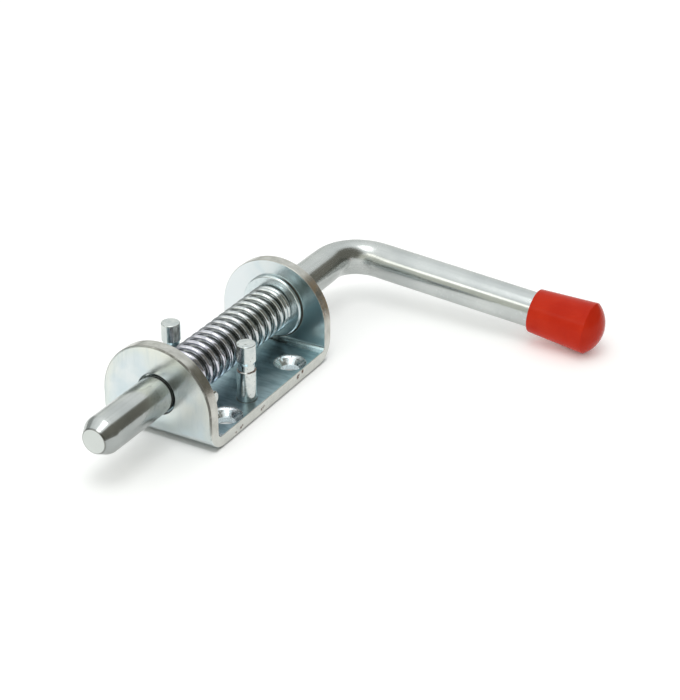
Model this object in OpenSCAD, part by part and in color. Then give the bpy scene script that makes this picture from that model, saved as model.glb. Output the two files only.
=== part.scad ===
// Spring latch pin: a bent round bolt with a capped handle, guided by the two
// ears of a folded bracket and pushed forward by a coil spring.
// X runs across the bracket towards the handle, Y along the bolt from the nose
// to the handle, Z up. The origin is the centre of the base underside.

/* [Bracket] */
// Width of the folded strip
strip_w = 38; // [37.6:0.2:42]
// Thickness of the strip
sheet_t = 4; // [3:0.25:4]
// Length over both ears
bracket_l = 71; // [68:0.5:78]
// Height of the ears above the base underside
ear_h = 31; // [30:0.5:35]
// Inner radius of the folds
fold_r = 1.5; // [0.75:0.25:1.5]
// Outer radius of the folds
fold_outer_r = 7; // [5:0.25:7.5]
// Diameter of the guide holes in the ears
guide_d = 13; // [12.6:0.1:13.6]

/* [Screw holes] */
// Spacing of the screw holes across the base
screw_dx = 26.8; // [25:0.2:26.8]
// Spacing of the screw holes along the base
screw_dy = 38; // [36:0.5:40]
// Diameter of the screw holes
screw_d = 5.5; // [4.5:0.1:6]
// Diameter of the countersinks at the top of the base
sink_d = 10.7; // [10:0.1:11]

/* [Bolt] */
// Height of the bolt axis above the base underside
axis_h = 15.5; // [15.5:0.25:17]
// Diameter of the bar
rod_d = 12; // [11.6:0.1:12]
// Length of the nose in front of the front ear
nose_l = 31; // [24:0.5:40]
// Length of the taper at the nose
taper_l = 3.7; // [2:0.1:5]
// Diameter of the flat face at the nose
nose_face_d = 7.8; // [6:0.1:10]
// Distance from the rear ear to the handle axis
tail_l = 44.5; // [40:0.5:55]
// Centreline radius of the bend
bend_r = 13.5; // [11:0.5:18]

/* [Cross pin] */
// Diameter of the cross pin
pin_d = 4.5; // [3.5:0.1:4.5]
// Reach of the cross pin from the bolt axis on the handle side
pin_reach = 16.4; // [14:0.2:17]
// Reach of the cross pin from the bolt axis on the other side
pin_stub = 8.5; // [7:0.25:9]

/* [Spring] */
// Diameter of the spring wire
wire_d = 1.6; // [1.2:0.1:1.6]
// Outside diameter of the spring
spring_d = 15.6; // [15.5:0.1:16]
// Number of open turns
open_turns = 13; // [10:1:16]
// Number of closed turns at each end
closed_turns = 1.5; // [1:0.25:2]

/* [Washers] */
// Outside diameter of the rear washer
rear_washer_d = 21.2; // [19:0.2:21.4]
// Thickness of the rear washer
rear_washer_t = 1.5; // [1.5:0.25:2.5]
// Outside diameter of the front washer
front_washer_d = 18; // [16.5:0.5:19]
// Thickness of the front washer
front_washer_t = 1.5; // [1:0.25:2]
// Diameter of the washer holes
washer_hole_d = 12.8; // [12.6:0.1:13]

/* [Posts] */
// Distance of each post from the centre line
post_x = 13.6; // [13.4:0.05:14.5]
// Distance of the posts in front of the bracket centre
post_y = 7.2; // [5:0.1:9]
// Diameter of the posts
post_d = 6; // [5:0.1:6.4]
// Height of the post tops above the base underside
post_h = 23; // [21:0.5:26]
// Diameter of the posts in the ring groove
neck_d = 5.1; // [4.6:0.1:5.4]

/* [End cap] */
// Distance from the bolt axis to the open end of the cap
cap_start = 70.8; // [60:0.2:85]
// Length of the conical part of the cap
cap_l = 19.7; // [16:0.1:24]
// Diameter of the cap at its open end
cap_mouth_d = 14.7; // [14.2:0.1:15.4]
// Diameter of the cap at the edge of the dome
cap_end_d = 17.2; // [16:0.1:18]
// Height of the dome
dome_h = 4.3; // [3:0.1:6]
// Thickness of the cap at its closed end
cap_floor = 3.2; // [2:0.1:5]

/* [Hidden] */
$fn = 96;
ear_r = strip_w / 2;
half_l = bracket_l / 2;
inner_y = half_l - sheet_t;
rod_r = rod_d / 2;
pin_y = -inner_y + pin_d / 2 + 0.05;
front_seat = pin_y + pin_d / 2 + 0.05;
rear_seat = inner_y - rear_washer_t;
cap_edge = cap_start + cap_l;
cap_end_r = cap_end_d / 2;
// handle angle at which the cap lies on the plane of the base underside
droop = asin(axis_h / sqrt(cap_edge * cap_edge + cap_end_r * cap_end_r))
        - atan(cap_end_r / cap_edge);
dome_r = (cap_end_r * cap_end_r + dome_h * dome_h) / (2 * dome_h);
rod_end = cap_edge + dome_h - cap_floor;
groove_low = axis_h - 1.4;
groove_high = axis_h + 1.8;
zinc = [0.74, 0.77, 0.78];
bright = [0.80, 0.80, 0.79];
wire = [0.62, 0.62, 0.64];
red = [0.76, 0.13, 0.09];

// side view of the folded strip: Y to the right, Z up
module strip_profile() {
    difference() {
        union() {
            translate([-half_l, fold_outer_r]) square([bracket_l, ear_h - fold_outer_r]);
            translate([-half_l + fold_outer_r, 0]) square([bracket_l - 2 * fold_outer_r, ear_h]);
            for (s = [-1, 1]) translate([s * (half_l - fold_outer_r), fold_outer_r]) circle(r = fold_outer_r);
        }
        translate([-inner_y, sheet_t + fold_r]) square([2 * inner_y, ear_h]);
        translate([-inner_y + fold_r, sheet_t]) square([2 * (inner_y - fold_r), ear_h]);
        for (s = [-1, 1]) translate([s * (inner_y - fold_r), sheet_t + fold_r]) circle(r = fold_r);
    }
}

// front view of an ear: X to the right, Z up
module ear_outline() {
    translate([-ear_r, 0]) square([strip_w, ear_h - ear_r]);
    translate([0, ear_h - ear_r]) circle(r = ear_r);
}

module countersunk_hole() {
    translate([0, 0, -1]) cylinder(d = screw_d, h = sheet_t + 2);
    translate([0, 0, sheet_t - (sink_d - screw_d) / 2])
        cylinder(d1 = screw_d, d2 = sink_d, h = (sink_d - screw_d) / 2);
    translate([0, 0, sheet_t]) cylinder(d = sink_d, h = 1);
}

module bracket() color(zinc) {
    difference() {
        intersection() {
            rotate([90, 0, 90]) translate([0, 0, -ear_r]) linear_extrude(strip_w) strip_profile();
            rotate([90, 0, 0]) translate([0, 0, -half_l - 1]) linear_extrude(bracket_l + 2) ear_outline();
        }
        translate([0, 0, axis_h]) rotate([90, 0, 0])
            translate([0, 0, -half_l - 1]) cylinder(d = guide_d, h = bracket_l + 2);
        for (x = [-1, 1], y = [-1, 1])
            translate([x * screw_dx / 2, y * screw_dy / 2, 0]) countersunk_hole();
        for (x = [-1, 1])
            translate([x * post_x, -post_y, -1]) cylinder(d = 4.4, h = sheet_t + 2);
    }
}

// round post with a ring groove at the height of the bolt axis
module post() {
    rotate_extrude() polygon([
        [0, 0], [2.2, 0], [2.2, sheet_t], [post_d / 2, sheet_t],
        [post_d / 2, groove_low], [neck_d / 2, groove_low],
        [neck_d / 2, groove_high - 1], [post_d / 2, groove_high],
        [post_d / 2, post_h - 0.25], [post_d / 2 - 0.25, post_h], [0, post_h]]);
}

module near_post() color(zinc) translate([post_x, -post_y, 0]) post();

module far_post() color(zinc) translate([-post_x, -post_y, 0]) post();

// washer standing on its rear face, with rounded rims
module washer(d, t, round_r) {
    rotate_extrude() {
        translate([washer_hole_d / 2, 0]) square([(d - washer_hole_d) / 2 - round_r, t]);
        translate([d / 2 - round_r, round_r]) square([round_r, t - 2 * round_r]);
        for (z = [round_r, t - round_r]) translate([d / 2 - round_r, z]) circle(r = round_r);
    }
}

module rear_washer() color(zinc)
    translate([0, inner_y, axis_h]) rotate([90, 0, 0]) washer(rear_washer_d, rear_washer_t, 0.7);

module front_washer() color(zinc)
    translate([0, front_seat + front_washer_t, axis_h]) rotate([90, 0, 0])
        washer(front_washer_d, front_washer_t, 0.3);

// position along the spring after u turns
function coil_at(u, n, pitch, closed) =
    u < closed_turns ? u * closed
    : u < n - closed_turns ? closed_turns * closed + (u - closed_turns) * pitch
    : closed_turns * closed + (n - 2 * closed_turns) * pitch + (u - n + closed_turns) * closed;

module return_spring() color(wire) {
    steps = 24;
    sides = 6;
    wr = wire_d / 2;
    mean_r = spring_d / 2 - wr;
    turns = open_turns + 2 * closed_turns;
    start = front_seat + front_washer_t + 0.05;
    length = rear_seat - 0.05 - start;
    closed = wire_d * 1.02;
    pitch = (length - wire_d - 2 * closed_turns * closed) / open_turns;
    rings = ceil(turns * steps);
    pts = [for (i = [0 : rings]) let (u = turns * i / rings, a = 360 * (turns - u) - 36,
               y = start + wr + coil_at(u, turns, pitch, closed))
           for (k = [0 : sides - 1]) let (b = 360 * k / sides,
               r = mean_r + wr * cos(b))
           [r * cos(a), y + wr * sin(b), axis_h + r * sin(a)]];
    quads = [for (i = [0 : rings - 1], k = [0 : sides - 1]) let (k2 = (k + 1) % sides)
             [i * sides + k, (i + 1) * sides + k, (i + 1) * sides + k2, i * sides + k2]];
    tris = [for (q = quads) each [[q[0], q[1], q[2]], [q[0], q[2], q[3]]]];
    ends = [[for (k = [0 : sides - 1]) k], [for (k = [sides - 1 : -1 : 0]) rings * sides + k]];
    polyhedron(points = pts, faces = concat(tris, ends), convexity = 10);
}

// bar along Y from the nose to the bend, then along X to the end in the cap
module bar() {
    translate([0, -half_l - nose_l, 0]) rotate([-90, 0, 0])
        cylinder(d1 = nose_face_d, d2 = rod_d, h = taper_l);
    translate([0, -half_l - nose_l + taper_l, 0]) rotate([-90, 0, 0])
        cylinder(d = rod_d, h = bracket_l + nose_l - taper_l + tail_l - bend_r);
    translate([bend_r, half_l + tail_l - bend_r, 0]) rotate([0, 0, 90])
        rotate_extrude(angle = 90) translate([bend_r, 0]) circle(d = rod_d);
    translate([bend_r, half_l + tail_l, 0]) rotate([0, 90, 0])
        cylinder(d = rod_d, h = rod_end - bend_r);
}

module bolt_rod() color(bright) {
    difference() {
        translate([0, 0, axis_h]) rotate([0, droop, 0]) bar();
        translate([-rod_d, pin_y, axis_h]) rotate([0, 90, 0]) cylinder(d = pin_d, h = 2 * rod_d);
    }
}

module cross_pin() color(zinc)
    translate([-pin_stub, pin_y, axis_h]) rotate([0, 90, 0])
        rotate_extrude() polygon([
            [0, 0], [pin_d / 2 - 0.4, 0], [pin_d / 2, 0.4],
            [pin_d / 2, pin_stub + pin_reach - 0.4],
            [pin_d / 2 - 0.4, pin_stub + pin_reach], [0, pin_stub + pin_reach]]);

// conical cap with a domed end, open towards the bolt axis
module end_cap() color(red)
    translate([0, half_l + tail_l, axis_h]) rotate([0, droop, 0]) rotate([0, 90, 0])
        rotate_extrude() difference() {
            union() {
                polygon([[0, cap_start], [cap_mouth_d / 2 - 0.4, cap_start],
                         [cap_mouth_d / 2, cap_start + 0.4], [cap_end_r, cap_edge], [0, cap_edge]]);
                intersection() {
                    translate([0, cap_edge + dome_h - dome_r]) circle(r = dome_r);
                    translate([0, cap_edge]) square([cap_end_r, dome_h + 1]);
                }
            }
            translate([-1, cap_start - 1]) square([rod_r + 1, rod_end - cap_start + 1]);
            translate([-2 * cap_end_r, cap_start - 1]) square([2 * cap_end_r, cap_l + dome_h + 4]);
        }

bracket();
near_post();
far_post();
rear_washer();
return_spring();
front_washer();
bolt_rod();
cross_pin();
end_cap();
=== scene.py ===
import math

import bmesh
import bpy
from mathutils import Matrix, Vector


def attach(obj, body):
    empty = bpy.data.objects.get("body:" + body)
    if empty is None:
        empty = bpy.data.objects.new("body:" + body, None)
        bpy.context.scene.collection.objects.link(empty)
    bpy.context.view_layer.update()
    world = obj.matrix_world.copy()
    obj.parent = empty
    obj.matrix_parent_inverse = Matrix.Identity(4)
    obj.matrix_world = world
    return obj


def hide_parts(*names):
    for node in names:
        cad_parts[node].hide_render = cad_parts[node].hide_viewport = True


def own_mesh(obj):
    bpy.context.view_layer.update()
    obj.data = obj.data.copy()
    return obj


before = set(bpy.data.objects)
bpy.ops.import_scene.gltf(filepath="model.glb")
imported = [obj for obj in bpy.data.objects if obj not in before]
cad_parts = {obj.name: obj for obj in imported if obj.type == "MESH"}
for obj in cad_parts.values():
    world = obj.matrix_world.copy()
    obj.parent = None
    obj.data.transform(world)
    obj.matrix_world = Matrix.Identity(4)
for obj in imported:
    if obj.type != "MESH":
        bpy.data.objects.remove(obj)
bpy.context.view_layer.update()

MM = 0.001
AXIS = 15.5            # height of the bolt axis, mm
REST = math.asin(15.5 / math.hypot(90.5, 8.6)) - math.atan(8.6 / 90.5)  # handle angle, cap on the table


# ---------------------------------------------------------------- mesh helpers

def arc_corner(a, b, c, rad, n):
    """Points of a fillet of radius rad at b, between the legs to a and c."""
    u = (Vector(a) - Vector(b)).normalized()
    v = (Vector(c) - Vector(b)).normalized()
    half = u.angle(v) / 2
    cut = min(rad / math.tan(half), 0.49 * (Vector(a) - Vector(b)).length, 0.49 * (Vector(c) - Vector(b)).length)
    rad = cut * math.tan(half)
    mid = Vector(b) + (u + v).normalized() * (rad / math.sin(half))
    p, q = Vector(b) + u * cut - mid, Vector(b) + v * cut - mid
    total = math.atan2(p.x * q.y - p.y * q.x, p.dot(q))
    out = []
    for i in range(n + 1):
        t = total * i / n
        out.append((mid.x + p.x * math.cos(t) - p.y * math.sin(t), mid.y + p.x * math.sin(t) + p.y * math.cos(t)))
    return out


def rounded(points, loop, n=5):
    """Profile points (radius, height, fillet) with their corners rounded."""
    out = []
    k = len(points)
    for i, (r, h, f) in enumerate(points):
        if f > 0 and (loop or 0 < i < k - 1):
            a, c = points[i - 1], points[(i + 1) % k]
            out += arc_corner(a[:2], (r, h), c[:2], f, n)
        else:
            out.append((r, h))
    return out


def lathe(bm, profile, place, loop=False, seg=96):
    """Turns a profile of (radius, height) in mm round place's Z axis."""
    rows = []
    for r, h in profile:
        if r < 1e-6:
            rows.append([bm.verts.new(place @ Vector((0, 0, h)))])
        else:
            rows.append([bm.verts.new(place @ Vector((r * math.cos(2 * math.pi * k / seg),
                                                      r * math.sin(2 * math.pi * k / seg), h)))
                         for k in range(seg)])
    pairs = list(zip(rows, rows[1:] + ([rows[0]] if loop else [])))
    for a, b in pairs if loop else pairs[:len(rows) - 1]:
        for k in range(seg):
            j = (k + 1) % seg
            if len(a) == 1 and len(b) == 1:
                continue
            if len(a) == 1:
                bm.faces.new((a[0], b[k], b[j]))
            elif len(b) == 1:
                bm.faces.new((a[k], a[j], b[0]))
            else:
                bm.faces.new((a[k], a[j], b[j], b[k]))


def tube(bm, rings, lengths=None):
    """Joins rings of points (mm) into a tube with closed ends. UV is (round the tube, length along it / 160 mm)."""
    rows = [[bm.verts.new(p) for p in ring] for ring in rings]
    n = len(rows[0])
    uv = bm.loops.layers.uv.verify()
    along_v = [v / 160 for v in lengths] if lengths else [i / (len(rows) - 1) for i in range(len(rows))]
    for i in range(len(rows) - 1):
        for k in range(n):
            j = (k + 1) % n
            f = bm.faces.new((rows[i][k], rows[i][j], rows[i + 1][j], rows[i + 1][k]))
            for loop, (a, b) in zip(f.loops, ((k, i), (k + 1, i), (k + 1, i + 1), (k, i + 1))):
                loop[uv].uv = (a / n, along_v[b])
    bm.faces.new(rows[0])
    bm.faces.new(rows[-1])


def make(name, bm, material, node, body, sharp=38.0, metres=False):
    """Finishes a piece: scale, normals, smooth shading, material, and its place in the frame."""
    if not metres:
        bmesh.ops.scale(bm, vec=(MM, MM, MM), verts=bm.verts)
    bmesh.ops.recalc_face_normals(bm, faces=bm.faces)
    me = bpy.data.meshes.new(name)
    bm.to_mesh(me)
    bm.free()
    for p in me.polygons:
        p.use_smooth = True
    me.set_sharp_from_angle(angle=math.radians(sharp))
    ob = bpy.data.objects.new(name, me)
    bpy.context.scene.collection.objects.link(ob)
    wn = ob.modifiers.new("normals", "WEIGHTED_NORMAL")
    wn.keep_sharp = True
    wn.weight = 80
    me.materials.append(material)
    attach(ob, body)
    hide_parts(node)
    return ob


# ------------------------------------------------------------ material helpers

class Paint:
    """A Principled material, with short names for the nodes used below."""

    def __init__(self, name):
        self.m = bpy.data.materials.new(name)
        self.m.use_nodes = True
        self.t = self.m.node_tree
        self.t.nodes.clear()
        self.out = self.t.nodes.new("ShaderNodeOutputMaterial")
        self.b = self.t.nodes.new("ShaderNodeBsdfPrincipled")
        self.t.links.new(self.b.outputs["BSDF"], self.out.inputs["Surface"])
        tc = self.t.nodes.new("ShaderNodeTexCoord")
        self.pos = tc.outputs["Object"]
        self.uv = tc.outputs["UV"]

    def put(self, socket, value):
        if isinstance(value, bpy.types.NodeSocket):
            self.t.links.new(value, socket)
        else:
            socket.default_value = value

    def set(self, name, value):
        self.put(self.b.inputs[name], value)

    def math(self, op, a, b=0.0, c=0.0):
        n = self.t.nodes.new("ShaderNodeMath")
        n.operation = op
        for s, v in zip(n.inputs, (a, b, c)):
            self.put(s, v)
        return n.outputs[0]

    def xyz(self, vec=None):
        n = self.t.nodes.new("ShaderNodeSeparateXYZ")
        self.put(n.inputs[0], vec or self.pos)
        return n.outputs

    def scaled(self, vec, scale, loc=(0, 0, 0)):
        n = self.t.nodes.new("ShaderNodeMapping")
        self.put(n.inputs["Vector"], vec)
        n.inputs["Scale"].default_value = scale
        n.inputs["Location"].default_value = loc
        return n.outputs[0]

    def noise(self, scale, detail=3.0, rough=0.5, vec=None, warp=0.0):
        n = self.t.nodes.new("ShaderNodeTexNoise")
        self.put(n.inputs["Vector"], vec or self.pos)
        n.inputs["Scale"].default_value = scale
        n.inputs["Detail"].default_value = detail
        n.inputs["Roughness"].default_value = rough
        n.inputs["Distortion"].default_value = warp
        return n.outputs["Fac"]

    def fit(self, value, a, b, c=0.0, d=1.0, kind="SMOOTHSTEP"):
        n = self.t.nodes.new("ShaderNodeMapRange")
        n.interpolation_type = kind
        for s, v in zip(n.inputs, (value, a, b, c, d)):
            self.put(s, v)
        return n.outputs[0]

    def mix(self, fac, a, b):
        n = self.t.nodes.new("ShaderNodeMix")
        n.data_type = "RGBA"
        self.put(n.inputs["Factor"], fac)
        cols = [s for s in n.inputs if s.type == "RGBA"]
        self.put(cols[0], a if isinstance(a, bpy.types.NodeSocket) else (*a, 1))
        self.put(cols[1], b if isinstance(b, bpy.types.NodeSocket) else (*b, 1))
        return [s for s in n.outputs if s.type == "RGBA"][0]

    def blob(self, centre, radius, soft):
        """1 inside a ball round centre (mm), 0 outside, with a soft edge."""
        n = self.t.nodes.new("ShaderNodeVectorMath")
        n.operation = "DISTANCE"
        self.put(n.inputs[0], self.pos)
        n.inputs[1].default_value = [c * MM for c in centre]
        return self.fit(n.outputs["Value"], radius * MM, (radius + soft) * MM, 1.0, 0.0)

    def bump(self, height, strength, distance, normal=None):
        n = self.t.nodes.new("ShaderNodeBump")
        n.inputs["Strength"].default_value = strength
        n.inputs["Distance"].default_value = distance
        self.put(n.inputs["Height"], height)
        if normal is not None:
            self.put(n.inputs["Normal"], normal)
        return n.outputs["Normal"]


# ------------------------------------------------------------------- materials

def zinc_sheet():
    p = Paint("zinc_sheet")
    x, y, z = p.xyz()
    ax, ay = p.math("ABSOLUTE", x), p.math("ABSOLUTE", y)
    # how near a point is to the strip's cut edge: the straight sides, and the round tops of the ears
    up = p.math("MAXIMUM", p.math("SUBTRACT", z, 0.012), 0.0)
    reach = p.math("SQRT", p.math("ADD", p.math("MULTIPLY", ax, ax), p.math("MULTIPLY", up, up)))
    cut = p.fit(reach, 0.01874, 0.01894)
    # the drilled countersinks, and the floor of the tray between the ears
    hx = p.math("SUBTRACT", ax, 0.0134)
    hy = p.math("SUBTRACT", ay, 0.0190)
    from_hole = p.math("SQRT", p.math("ADD", p.math("MULTIPLY", hx, hx), p.math("MULTIPLY", hy, hy)))
    sink = p.math("MULTIPLY", p.fit(from_hole, 0.00533, 0.00545, 1.0, 0.0), p.fit(z, 0.00390, 0.00398, 1.0, 0.0))
    tray = p.math("MULTIPLY", p.fit(z, 0.0034, 0.0038), p.fit(z, 0.0042, 0.0047, 1.0, 0.0))
    tray = p.math("MULTIPLY", tray, p.fit(ay, 0.0282, 0.0300, 1.0, 0.0))
    mottle = p.noise(150, 4, 0.55, warp=0.5)
    cloud = p.noise(48, 2, 0.5)
    fine = p.noise(900, 2, 0.6)
    streak = p.noise(1.0, 3, 0.6, vec=p.scaled(p.pos, (110, 420, 110)))
    sheet = p.mix(p.fit(mottle, 0.28, 0.74), (0.575, 0.652, 0.682), (0.708, 0.745, 0.750))
    # painted light and shade: the inner side of the rear ear is painted nearly white on the left and a darker blue on
    # the right, where it mirrors the spring and the tray
    inner = p.math("MULTIPLY", p.fit(y, 0.0300, 0.0308), p.fit(y, 0.0318, 0.0324, 1.0, 0.0))
    sheet = p.mix(p.math("MULTIPLY", inner, p.fit(x, -0.004, -0.012, 0.0, 0.8)), sheet, (0.735, 0.768, 0.782))
    sheet = p.mix(p.math("MULTIPLY", inner, p.fit(x, -0.002, 0.011, 0.0, 0.85)), sheet, (0.510, 0.665, 0.688))
    # painted shade: the tray floor between the ears, under the spring, is painted a darker streaky blue-green
    streaky_tray_shade = p.mix(p.fit(streak, 0.34, 0.68), (0.235, 0.385, 0.445), (0.455, 0.625, 0.690))
    sheet = p.mix(p.math("MULTIPLY", tray, 0.85), sheet, streaky_tray_shade)
    cream = p.math("MULTIPLY", p.fit(cloud, 0.44, 0.66, 0, 0.75), p.fit(ay, 0.0345, 0.0352))
    sheet = p.mix(cream, sheet, (0.705, 0.720, 0.655))
    face = p.fit(y, -0.0345, -0.0352)
    sheet = p.mix(p.math("MULTIPLY", face, p.fit(z, 0.004, 0.014, 0.55, 0.0)), sheet, (0.545, 0.655, 0.690))
    sheet = p.mix(p.math("MULTIPLY", face, p.fit(reach, 0.0150, 0.0182, 0.0, 0.45)), sheet, (0.735, 0.740, 0.660))
    wipe = p.noise(1.0, 4, 0.6, vec=p.scaled(p.pos, (420, 80, 60)))
    sheet = p.mix(p.math("MULTIPLY", face, p.fit(wipe, 0.48, 0.70, 0.0, 0.40)), sheet, (0.520, 0.590, 0.610))
    sheet = p.mix(sink, sheet, p.mix(p.fit(fine, 0.35, 0.65), (0.590, 0.655, 0.675), (0.760, 0.810, 0.825)))
    # painted light: the bore of the hole is painted a pale blue-white and made less metallic
    bore = p.math("MULTIPLY", sink, p.fit(from_hole, 0.00285, 0.00310, 1.0, 0.0))
    sheet = p.mix(bore, sheet, (0.840, 0.930, 0.970))
    edge = p.mix(p.fit(p.noise(260, 4, 0.6), 0.3, 0.7), (0.420, 0.416, 0.382), (0.575, 0.570, 0.530))
    edge = p.mix(p.fit(z, 0.0045, 0.0080, 0.5, 0.0), edge, (0.640, 0.660, 0.630))
    # shear marks across the thickness of the cut edge
    marks = p.noise(1.0, 2, 0.55, vec=p.scaled(p.pos, (60, 1500, 1500)))
    stain = p.math("MULTIPLY", p.blob((15.8, 33.5, 21.8), 3.2, 7.0), p.fit(p.noise(330, 4, 0.65), 0.30, 0.56))
    edge = p.mix(p.math("MULTIPLY", stain, 0.85), edge, (0.240, 0.165, 0.085))
    col = p.mix(cut, sheet, edge)
    # painted shade: dark lines where shadow falls, behind the rear washer, round the feet of the posts and the bar,
    # along the front ear's outer corner
    dz = p.math("SUBTRACT", z, AXIS * MM)
    from_axis = p.math("SQRT", p.math("ADD", p.math("MULTIPLY", x, x), p.math("MULTIPLY", dz, dz)))
    washer_shadow = p.math("MULTIPLY", p.fit(from_axis, 0.01085, 0.01130, 1.0, 0.0),
                  p.math("MULTIPLY", p.fit(y, 0.0312, 0.0314), p.fit(y, 0.0316, 0.0318, 1.0, 0.0)))
    washer_shadow = p.math("MULTIPLY", washer_shadow, p.fit(x, 0.0, 0.006))
    px = p.math("SUBTRACT", ax, 0.0136)
    py = p.math("ADD", y, 0.0072)
    from_post = p.math("SQRT", p.math("ADD", p.math("MULTIPLY", px, px), p.math("MULTIPLY", py, py)))
    foot = p.math("MULTIPLY", p.fit(from_post, 0.0031, 0.0036, 0.8, 0.0), p.fit(z, 0.0036, 0.0039))
    corner = p.math("MULTIPLY", p.math("MULTIPLY", p.fit(reach, 0.01834, 0.01848), p.fit(y, -0.03500, -0.03516)),
                    p.fit(p.noise(420, 4, 0.65), 0.30, 0.50, 0.35, 1.0))
    corner = p.math("MULTIPLY", corner, p.math("MULTIPLY", p.fit(z, 0.004, 0.013, 0.25, 0.85), p.fit(x, -0.010, 0.008, 0.25, 1.0)))
    ring = p.math("MULTIPLY", p.fit(from_axis, 0.00655, 0.00690, 0.9, 0.0), p.math("MULTIPLY", face, p.fit(x, -0.005, 0.001)))
    painted_shade = p.math("MAXIMUM", p.math("MAXIMUM", washer_shadow, foot), p.math("MAXIMUM", corner, ring))
    col = p.mix(painted_shade, col, (0.060, 0.055, 0.045))
    # small dark marks on the cut edge and the scuffs beside them
    spots = None
    for c, r, s in (((19, 17.24, 3.1), 0.35, 0.55), ((19, 14.43, 2.5), 0.40, 0.65), ((19, 15.2, 2.9), 0.12, 0.3),
                    ((19, -19.4, 1.5), 0.16, 0.5), ((19, -18.6, 1.8), 0.14, 0.5), ((19, -22.2, 1.3), 0.10, 0.5),
                    ((19, -7.6, 1.8), 0.14, 0.5), ((19, -6.9, 2.0), 0.16, 0.5), ((19, -6.1, 2.2), 0.12, 0.5)):
        b = p.blob(c, r, s)
        spots = b if spots is None else p.math("MAXIMUM", spots, b)
    spots = p.math("MULTIPLY", spots, p.fit(p.noise(1500, 2, 0.6), 0.25, 0.55))
    col = p.mix(spots, col, (0.115, 0.060, 0.040))
    p.set("Base Color", col)
    dull = p.math("MAXIMUM", p.math("MAXIMUM", spots, painted_shade), p.math("MULTIPLY", stain, cut))
    p.set("Metallic", p.math("SUBTRACT", 1.0, p.math("MAXIMUM", p.math("MULTIPLY", dull, 0.6), p.math("MULTIPLY", bore, 0.75))))
    rough = p.fit(p.math("ADD", p.math("MULTIPLY", mottle, 0.6), p.math("MULTIPLY", fine, 0.4)), 0.3, 0.7, 0.200, 0.262)
    rough = p.math("ADD", rough, p.math("MULTIPLY", sink, p.fit(fine, 0.35, 0.65, -0.06, 0.08)))
    rough = p.math("ADD", rough, p.math("MULTIPLY", tray, 0.078))
    p.set("Roughness", p.math("ADD", rough, p.math("MULTIPLY", p.math("MAXIMUM", spots, painted_shade), 0.3)))
    dents = p.bump(p.noise(70, 2, 0.45), 0.25, 0.00010)
    # the punch pressed the sheet in a little round the front hole
    roll = p.fit(from_axis, 0.0064, 0.0116, 1.0, 0.0, "LINEAR")
    roll = p.math("MULTIPLY", p.math("MULTIPLY", roll, roll), p.math("MULTIPLY", face, -1.0))
    dents = p.bump(roll, 1.0, 0.00042, dents)
    grain = p.math("ADD", p.math("MULTIPLY", marks, cut), p.math("MULTIPLY", fine, p.math("ADD", 0.05, p.math("MULTIPLY", sink, 0.5))))
    grain = p.bump(p.math("ADD", grain, p.math("MULTIPLY", p.math("MULTIPLY", streak, tray), 0.35)), 0.30, 0.00004, dents)
    p.set("Normal", grain)
    return p.m


def zinc_bar(name, a, b, r0, r1, pits=0.0, lip_reflection=False):
    p = Paint(name)
    mottle = p.noise(420, 4, 0.6, warp=0.3)
    fine = p.noise(2200, 2, 0.6)
    dots = p.fit(p.noise(1150, 2, 0.5), 0.62, 0.70, 0.0, pits)
    col = p.mix(dots, p.mix(p.fit(mottle, 0.32, 0.7), a, b), (0.20, 0.20, 0.17))
    if lip_reflection:
        # painted reflection: a brown line on the lower lip of the groove, broken up by noise
        z = p.xyz()[2]
        lip = p.math("MULTIPLY", p.fit(z, 0.01380, 0.01398), p.fit(z, 0.01425, 0.01445, 1.0, 0.0))
        col = p.mix(p.math("MULTIPLY", lip, p.fit(p.noise(380, 3, 0.6), 0.45, 0.60, 0.0, 0.9)), col, (0.150, 0.080, 0.058))
    p.set("Base Color", col)
    p.set("Metallic", 1.0)
    p.set("Roughness", p.fit(p.math("ADD", p.math("MULTIPLY", mottle, 0.6), p.math("MULTIPLY", fine, 0.4)), 0.3, 0.7, r0, r1))
    p.set("Normal", p.bump(p.math("ADD", p.math("MULTIPLY", mottle, 0.7), p.math("MULTIPLY", fine, 0.3)), 0.12, 0.00004))
    return p.m


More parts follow.
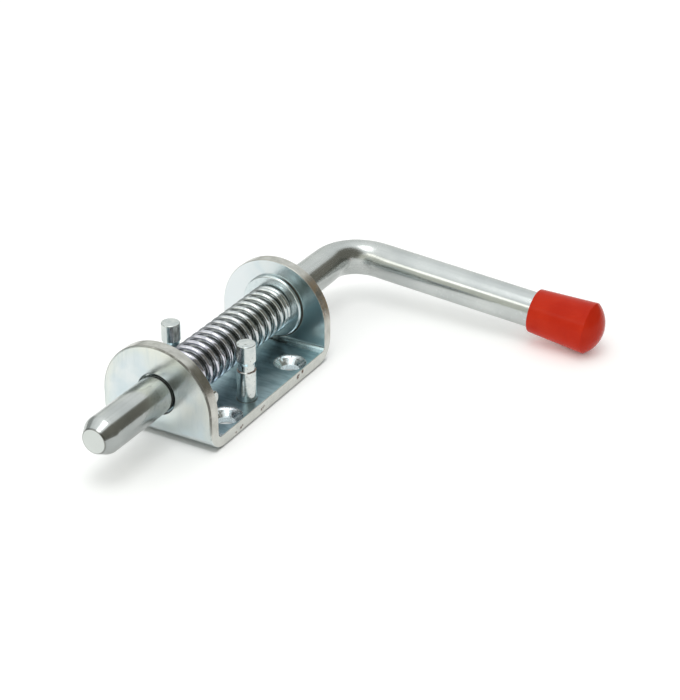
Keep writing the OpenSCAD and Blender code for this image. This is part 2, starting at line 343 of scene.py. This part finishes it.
def bright_bar():
    p = Paint("bright_bar")
    # drawing lines run along the bar: UV is (round the bar, along it)
    lines = p.noise(1.0, 4, 0.62, vec=p.scaled(p.uv, (70, 5, 1)))
    broad = p.noise(75, 3, 0.5)
    fine = p.noise(1300, 2, 0.55)
    col = p.mix(p.fit(broad, 0.3, 0.72), (0.460, 0.482, 0.474), (0.565, 0.582, 0.568))
    col = p.mix(p.fit(lines, 0.50, 0.74, 0, 0.45), col, (0.390, 0.406, 0.394))
    x, y, z = p.xyz()
    # fine bright grains of plating on the handle
    grains = p.math("MULTIPLY", p.fit(p.noise(950, 2, 0.5), 0.64, 0.72), p.fit(x, 0.016, 0.034, 0.0, 0.55))
    col = p.mix(grains, col, (0.74, 0.76, 0.76))
    # painted shade: the nose is painted darker on its lower side, except on its sawn face; the plating is a little
    # bluer on the handle
    nose_underside_shade = p.math("MULTIPLY", p.fit(y, -0.030, -0.044), p.fit(y, -0.0660, -0.0664, 1.0, 0.0))
    nose_underside_shade = p.math("MULTIPLY", nose_underside_shade, p.fit(z, 0.0205, 0.0160, 0.0, 0.50))
    col = p.mix(nose_underside_shade, col, (0.215, 0.235, 0.235))
    col = p.mix(p.fit(y, -0.06635, -0.06645, 0.0, 0.8), col, (0.610, 0.640, 0.618))
    col = p.mix(p.fit(x, 0.016, 0.034, 0.0, 0.25), col, (0.590, 0.625, 0.628))
    pits = p.math("MULTIPLY", p.fit(p.noise(900, 2, 0.5), 0.62, 0.69, 0.0, 0.6), p.fit(y, -0.048, -0.041))
    pits = p.math("MULTIPLY", pits, p.fit(y, -0.032, -0.030, 1.0, 0.0))
    col = p.mix(pits, col, (0.16, 0.17, 0.16))
    # painted shade: a dark ring is painted round the edge of the sawn nose face; behind the rear ear and round the bend
    # the bar is rougher
    dz = p.math("SUBTRACT", z, AXIS * MM)
    from_axis = p.math("SQRT", p.math("ADD", p.math("MULTIPLY", x, x), p.math("MULTIPLY", dz, dz)))
    nose_edge_shade = p.math("MULTIPLY", p.math("MULTIPLY", p.fit(from_axis, 0.00362, 0.00380), p.fit(from_axis, 0.0040, 0.0042, 1.0, 0.0)),
                 p.fit(y, -0.0658, -0.0662))
    p.set("Base Color", p.mix(p.math("MULTIPLY", nose_edge_shade, 0.65), col, (0.10, 0.10, 0.09)))
    p.set("Metallic", 1.0)
    tail = p.math("MULTIPLY", p.fit(y, 0.036, 0.050), p.fit(x, 0.010, 0.026, 1.0, 0.0))
    rough = p.fit(p.math("ADD", p.math("MULTIPLY", lines, 0.6), p.math("MULTIPLY", fine, 0.4)), 0.3, 0.7, 0.14, 0.23)
    p.set("Roughness", p.math("ADD", rough, p.math("MULTIPLY", tail, 0.07)))
    wave = p.bump(p.noise(60, 2, 0.45), 0.2, 0.00008)
    p.set("Normal", p.bump(p.math("ADD", p.math("MULTIPLY", lines, 0.8), p.math("MULTIPLY", fine, 0.2)), 0.22, 0.00004, wave))
    return p.m


def spring_wire():
    p = Paint("spring_wire")
    mottle = p.noise(620, 4, 0.6, warp=0.4)
    fine = p.noise(2600, 2, 0.6)
    # a violet passivation tint towards the front, nearly neutral at the rear
    y = p.xyz()[1]
    low = p.mix(p.fit(y, -0.016, 0.016), (0.480, 0.480, 0.535), (0.490, 0.520, 0.525))
    high = p.mix(p.fit(y, -0.016, 0.016), (0.680, 0.675, 0.735), (0.685, 0.715, 0.715))
    p.set("Base Color", p.mix(p.fit(mottle, 0.3, 0.72), low, high))
    p.set("Metallic", 1.0)
    p.set("Roughness", p.fit(fine, 0.3, 0.7, 0.09, 0.17))
    p.set("Normal", p.bump(mottle, 0.22, 0.00004))
    return p.m


def red_cap():
    p = Paint("red_cap")
    cloud = p.noise(110, 3, 0.5)
    fine = p.noise(1900, 2, 0.6)
    p.set("Base Color", p.mix(p.fit(cloud, 0.3, 0.7), (0.475, 0.021, 0.007), (0.535, 0.030, 0.010)))
    p.set("Roughness", p.fit(p.math("ADD", p.math("MULTIPLY", cloud, 0.5), p.math("MULTIPLY", fine, 0.5)), 0.3, 0.7, 0.15, 0.22))
    p.set("Specular IOR Level", 0.085)
    ripple = p.bump(p.noise(260, 2, 0.5), 0.25, 0.00010)
    p.set("Normal", p.bump(fine, 0.18, 0.00003, ripple))
    return p.m


M_SHEET = zinc_sheet()
M_POST = zinc_bar("zinc_post", (0.550, 0.590, 0.585), (0.665, 0.688, 0.668), 0.14, 0.22, 0.60, lip_reflection=True)
M_WASHER = zinc_bar("zinc_washer", (0.580, 0.650, 0.665), (0.690, 0.750, 0.760), 0.20, 0.262)
M_PIN = zinc_bar("zinc_pin", (0.510, 0.535, 0.515), (0.610, 0.620, 0.590), 0.16, 0.26, 0.3)
M_BAR = bright_bar()
M_WIRE = spring_wire()
M_RED = red_cap()


# ---------------------------------------------------------------------- pieces

def along(axis_from, direction):
    """A placement whose Z axis runs along direction from a point, in mm."""
    return Matrix.Translation(axis_from) @ Vector(direction).to_track_quat("Z", "Y").to_matrix().to_4x4()


# bracket: the strip's own faces. Its outer corners are rolled over, as blanking leaves them; the inner ones are only broken
bm = bmesh.new()
bm.from_mesh(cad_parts["bracket"].data)
bmesh.ops.remove_doubles(bm, verts=bm.verts, dist=2e-6)
bmesh.ops.dissolve_limit(bm, angle_limit=math.radians(0.5), verts=bm.verts, edges=bm.edges)


def on_cut_edge(co):
    return math.hypot(co.x, max(co.z - 0.012, 0.0)) > 0.0188


def on_outer_skin(co):
    y, z = abs(co.y), co.z
    if z >= 0.007:
        return y > 0.03545
    if y <= 0.0285:
        return z < 0.00005
    return math.hypot(y - 0.0285, z - 0.007) > 0.0069


def round_edges(test, offset, segments):
    edges = [e for e in bm.edges if len(e.link_faces) == 2 and e.calc_face_angle() > math.radians(36)
             and all(test(v.co) for v in e.verts)]
    bmesh.ops.bevel(bm, geom=edges, offset=offset, offset_type="OFFSET", segments=segments, profile=0.5,
                    affect="EDGES", clamp_overlap=False)


round_edges(lambda co: on_cut_edge(co) and on_outer_skin(co), 0.00058, 4)
round_edges(lambda co: on_cut_edge(co) and not on_outer_skin(co), 0.00020, 2)
round_edges(lambda co: math.hypot(co.x, co.z - AXIS * MM) < 0.0067 and abs(co.y) > 0.030, 0.00030, 2)
make("strip", bm, M_SHEET, "bracket", "bracket_body", metres=True)

# posts: turned pins riveted in the base, with a ring groove
POST = [(0, 0.06, 0), (2.12, 0.06, 0.1), (2.12, 3.99, 0), (3.00, 3.99, 0.12), (3.00, 14.1, 0.12), (2.55, 14.1, 0.12),
        (2.55, 16.3, 0.3), (3.00, 17.3, 0.15), (3.00, 23.0, 0.32), (0, 23.0, 0)]
for name, node, x in (("post_near", "near_post", 13.6), ("post_far", "far_post", -13.6)):
    bm = bmesh.new()
    lathe(bm, rounded(POST, False), Matrix.Translation((x, -7.2, 0)))
    make(name, bm, M_POST, node, "bracket_body")

# washers
for name, node, body, y0, t, r, f in (("washer_rear", "rear_washer", "bracket_body", 30.0, 1.5, 10.6, 0.68),
                                      ("washer_front", "front_washer", "slide_washer", -26.9, 1.5, 9.0, 0.28)):
    bm = bmesh.new()
    lathe(bm, rounded([(6.4, 0, 0.2), (r, 0, f), (r, t, f), (6.4, t, 0.2)], True, 6), along((0, y0, AXIS), (0, 1, 0)), loop=True, seg=128)
    make(name, bm, M_WASHER, node, body)

# spring: right-hand coil, closed ends
TURNS, CLOSED_N, WIRE = 16.0, 1.5, 1.6
START, LENGTH = -25.35, 55.30
CLOSE = WIRE * 1.02
PITCH = (LENGTH - WIRE - 2 * CLOSED_N * CLOSE) / (TURNS - 2 * CLOSED_N)


def coil_y(u):
    """Place along the axis after u turns, the change of pitch eased over a quarter turn."""
    def ease(v, w):  # integral of a smooth step from -w to w
        if v <= -w:
            return 0.0
        if v >= w:
            return v
        return (v + w) ** 2 / (4 * w)
    w = 0.12
    return CLOSE * u + (PITCH - CLOSE) * (ease(u - CLOSED_N, w) - ease(u - (TURNS - CLOSED_N), w))


def coil_point(u):
    a = math.radians(360 * (TURNS - u) - 36)
    r = 7.8 - WIRE / 2
    return Vector((r * math.cos(a), START + WIRE / 2 + coil_y(u), AXIS + r * math.sin(a)))


def coil_ring(u, radius, sides=16):
    c = coil_point(u)
    t = (coil_point(u + 0.002) - coil_point(u - 0.002)).normalized()
    n = Vector((c.x, 0, c.z - AXIS)).normalized()
    b = t.cross(n).normalized()
    n = b.cross(t)
    return [c + (n * math.cos(2 * math.pi * k / sides) + b * math.sin(2 * math.pi * k / sides)) * radius for k in range(sides)]


steps = int(TURNS * 44)
rings = [coil_ring(0.0, 0.62), coil_ring(0.002, 0.74)]
rings += [coil_ring(0.006 + (TURNS - 0.012) * i / steps, 0.8) for i in range(steps + 1)]
rings += [coil_ring(TURNS - 0.002, 0.74), coil_ring(TURNS, 0.62)]
bm = bmesh.new()
tube(bm, rings)
coil = make("coil", bm, M_WIRE, "return_spring", "bracket_body", sharp=50)
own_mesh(coil)

# bolt: one bar with a tapered nose, bent through a right angle; the bend is pressed a little flat
R, BEND = 6.0, 13.5
turned = Matrix.Translation((0, 0, AXIS)) @ Matrix.Rotation(REST, 4, "Y")


def bar_ring(s, radius, sides=96):
    """Ring of the bar at s mm along its centreline from the start of the bend (negative towards the nose)."""
    quarter = BEND * math.pi / 2
    if s <= 0:
        c, out = Vector((0, 66.5 + s, 0)), Vector((-1, 0, 0))
    elif s >= quarter:
        c, out = Vector((BEND + s - quarter, 80, 0)), Vector((0, 1, 0))
    else:
        t = s / BEND
        out = Vector((-math.cos(t), math.sin(t), 0))
        c = Vector((BEND, 66.5, 0)) + out * BEND
    w = (s + 5) / (quarter + 10)
    flat = math.sin(math.pi * w) ** 2 if 0 < w < 1 else 0.0
    a, b = radius * (1 - 0.15 * flat), radius * (1 + 0.02 * flat)
    up = Vector((0, 0, 1))
    return [turned @ (c + out * a * math.cos(2 * math.pi * k / sides) + up * b * math.sin(2 * math.pi * k / sides)) for k in range(sides)]


nose = rounded([(0, -66.5, 0), (3.9, -66.5, 0.30), (6.0, -62.8, 4.0), (6.0, -50.0, 0)], False, 9)[1:]
quarter = BEND * math.pi / 2
stations = [(y - 66.5, r) for r, y in nose] + [(s, R) for s in range(-110, -8, 6)]
stations += [(-6 + (quarter + 12) * i / 56, R) for i in range(57)] + [(quarter + 9 + 4 * i, R) for i in range(15)]
bm = bmesh.new()
tube(bm, [bar_ring(s, r) for s, r in stations], [s for s, r in stations])
make("bolt_bar", bm, M_BAR, "bolt_rod", "bolt", sharp=30)

# cross pin
bm = bmesh.new()
lathe(bm, rounded([(0, 0, 0), (1.85, 0, 0.12), (2.25, 0.4, 0.15), (2.25, 24.5, 0.15), (1.85, 24.9, 0.12), (0, 24.9, 0)], False, 3),
      along((-8.5, -29.2, AXIS), (1, 0, 0)), seg=64)
make("pin", bm, M_PIN, "cross_pin", "bolt")

# end cap: moulded sleeve with a domed end
dome_r = (8.6 ** 2 + 4.3 ** 2) / (2 * 4.3)
outer = [(6.03, 70.8, 0.25), (7.35, 70.8, 0.45), (8.6, 90.5, 0.22)]
top = [(math.sqrt(max(dome_r ** 2 - (h - (94.8 - dome_r)) ** 2, 0.0)), h) for h in
       [90.5 + 4.3 * math.sin(math.pi / 2 * i / 22) for i in range(1, 23)]]
outer += [(r, h, 0.0) for r, h in top[:-1]]
profile = rounded([(6.03, 91.6, 0.0)] + outer, False, 6)
bm = bmesh.new()
handle = Matrix.Translation((0, 80, AXIS)) @ Matrix.Rotation(REST, 4, "Y") @ Matrix.Rotation(math.pi / 2, 4, "Y")
lathe(bm, [(0, 91.6)] + profile + [(0, 94.8)], handle, seg=128)
make("cap", bm, M_RED, "end_cap", "bolt")


# ---------------------------------------------------------- floor, light, camera

def floor_material():
    p = Paint("floor")
    p.set("Base Color", p.mix(p.noise(6, 3, 0.5), (0.84, 0.84, 0.835), (0.86, 0.86, 0.855)))
    p.set("Roughness", 0.75)
    p.set("Emission Color", (1, 1, 1, 1))
    # the table glows a little, but not under the bracket or close under the cap, where no light gets in
    x, y, z = p.xyz()
    dx = p.math("MAXIMUM", p.math("SUBTRACT", p.math("ABSOLUTE", x), 0.0182), 0.0)
    dy = p.math("MAXIMUM", p.math("SUBTRACT", p.math("ABSOLUTE", y), 0.0325), 0.0)
    out = p.math("SQRT", p.math("ADD", p.math("MULTIPLY", dx, dx), p.math("MULTIPLY", dy, dy)))
    near = p.t.nodes.new("ShaderNodeAmbientOcclusion")
    near.samples = 8
    near.inputs["Distance"].default_value = 0.006
    glow = p.math("MULTIPLY", p.fit(out, 0.0001, 0.0014), p.fit(near.outputs["AO"], 0.02, 0.30))
    p.set("Emission Strength", p.math("MULTIPLY", glow, 0.25))
    return p.m


bm = bmesh.new()
bmesh.ops.create_grid(bm, x_segments=2, y_segments=2, size=3.0)
me = bpy.data.meshes.new("floor")
bm.to_mesh(me)
bm.free()
me.materials.append(floor_material())
floor = bpy.data.objects.new("floor", me)
floor.location = (0, 0, -0.0002)
bpy.context.scene.collection.objects.link(floor)

scene = bpy.context.scene
scene.view_settings.view_transform = "Standard"
scene.view_settings.look = "None"

world = bpy.data.worlds.new("studio")
scene.world = world
world.use_nodes = True
wt = world.node_tree
wt.nodes.clear()
w_out = wt.nodes.new("ShaderNodeOutputWorld")
w_bg = wt.nodes.new("ShaderNodeBackground")
w_tc = wt.nodes.new("ShaderNodeTexCoord")
w_sep = wt.nodes.new("ShaderNodeSeparateXYZ")
wt.links.new(w_tc.outputs["Generated"], w_sep.inputs[0])


def w_fit(value, a, b, c, d):
    n = wt.nodes.new("ShaderNodeMapRange")
    n.interpolation_type = "SMOOTHSTEP"
    wt.links.new(value, n.inputs[0])
    for s, v in zip(list(n.inputs)[1:], (a, b, c, d)):
        s.default_value = v
    return n.outputs[0]


def w_math(op, a, b):
    n = wt.nodes.new("ShaderNodeMath")
    n.operation = op
    for s, v in zip(n.inputs, (a, b)):
        if isinstance(v, bpy.types.NodeSocket):
            wt.links.new(v, s)
        else:
            s.default_value = v
    return n.outputs[0]


def w_mix(fac, a, b):
    n = wt.nodes.new("ShaderNodeMix")
    n.data_type = "RGBA"
    wt.links.new(fac, n.inputs["Factor"])
    for s, v in zip([s for s in n.inputs if s.type == "RGBA"], (a, b)):
        if isinstance(v, bpy.types.NodeSocket):
            wt.links.new(v, s)
        else:
            s.default_value = (*v, 1)
    return [s for s in n.outputs if s.type == "RGBA"][0]


# a pale tent overhead and on the left; a dimmer room in front, and a dark brown wall along the right side
wx, wy, wz = w_sep.outputs
ceiling = w_fit(wz, 0.44, 0.58, 0.0, 1.0)
zenith = w_fit(wz, 0.66, 0.90, 0.0, 1.0)
horizon = w_fit(wz, -0.02, 0.26, 0.0, 1.0)
front = w_fit(wy, 0.10, -0.30, 0.0, 1.0)
wall = w_fit(w_math("SUBTRACT", wx, w_math("MULTIPLY", wz, 0.6)), -0.11, 0.03, 0.0, 1.0)
wall = w_math("MULTIPLY", wall, w_fit(wy, -0.85, -0.65, 0.0, 1.0))
low = w_mix(w_fit(wx, -0.38, -0.60, 0.0, 1.0), (0.72, 0.74, 0.72), (0.46, 0.48, 0.46))
back = w_mix(horizon, low, (0.94, 0.97, 0.95))
ahead = w_mix(w_fit(wx, -0.46, -0.66, 0.0, 1.0), (0.74, 0.75, 0.66), (0.24, 0.25, 0.23))
lower = w_mix(front, back, ahead)
lower = w_mix(w_fit(wx, -0.68, -0.86, 0.0, 1.0), lower, (0.44, 0.46, 0.45))
room = w_mix(ceiling, lower, (0.97, 1.00, 1.00))
room = w_mix(zenith, room, (1.13, 1.16, 1.16))
room = w_mix(wall, room, (0.20, 0.195, 0.165))
# a bright window low in front on the left
window = w_math("MULTIPLY", w_math("MULTIPLY", w_fit(wz, 0.505, 0.545, 0.0, 1.0), w_fit(wz, 0.64, 0.70, 1.0, 0.0)),
                w_math("MULTIPLY", w_fit(wy, -0.35, -0.50, 0.0, 1.0), w_fit(wx, 0.05, 0.20, 1.0, 0.0)))
room = w_mix(window, room, (2.4, 2.38, 2.2))
wt.links.new(room, w_bg.inputs["Color"])
w_bg.inputs["Strength"].default_value = 1.0
wt.links.new(w_bg.outputs[0], w_out.inputs["Surface"])


def softbox(name, at, aim, size, power, colour=(1, 1, 1)):
    light = bpy.data.lights.new(name, "AREA")
    light.shape = "RECTANGLE"
    light.size, light.size_y = size
    light.energy = power
    light.color = colour
    ob = bpy.data.objects.new(name, light)
    ob.location = at
    ob.rotation_euler = (Vector(aim) - Vector(at)).to_track_quat("-Z", "Y").to_euler()
    scene.collection.objects.link(ob)


softbox("overhead", (0.095, -0.22, 1.2), (0.095, -0.10, 0), (0.51, 0.70), 3.1)

cam = bpy.data.cameras.new("camera")
cam.sensor_width = 36.0
cam.sensor_fit = "AUTO"
cam.lens = 91.784
cam.clip_start = 0.01
cam_ob = bpy.data.objects.new("camera", cam)
right, up, back_v = (0.874261, 0.485369, 0.00917), (-0.237221, 0.410655, 0.880391), (0.423549, -0.771867, 0.47416)
cam_ob.matrix_world = Matrix(((right[0], up[0], back_v[0], 0.26553),
                              (right[1], up[1], back_v[1], -0.407653),
                              (right[2], up[2], back_v[2], 0.275332),
                              (0, 0, 0, 1)))
scene.collection.objects.link(cam_ob)
scene.camera = cam_ob
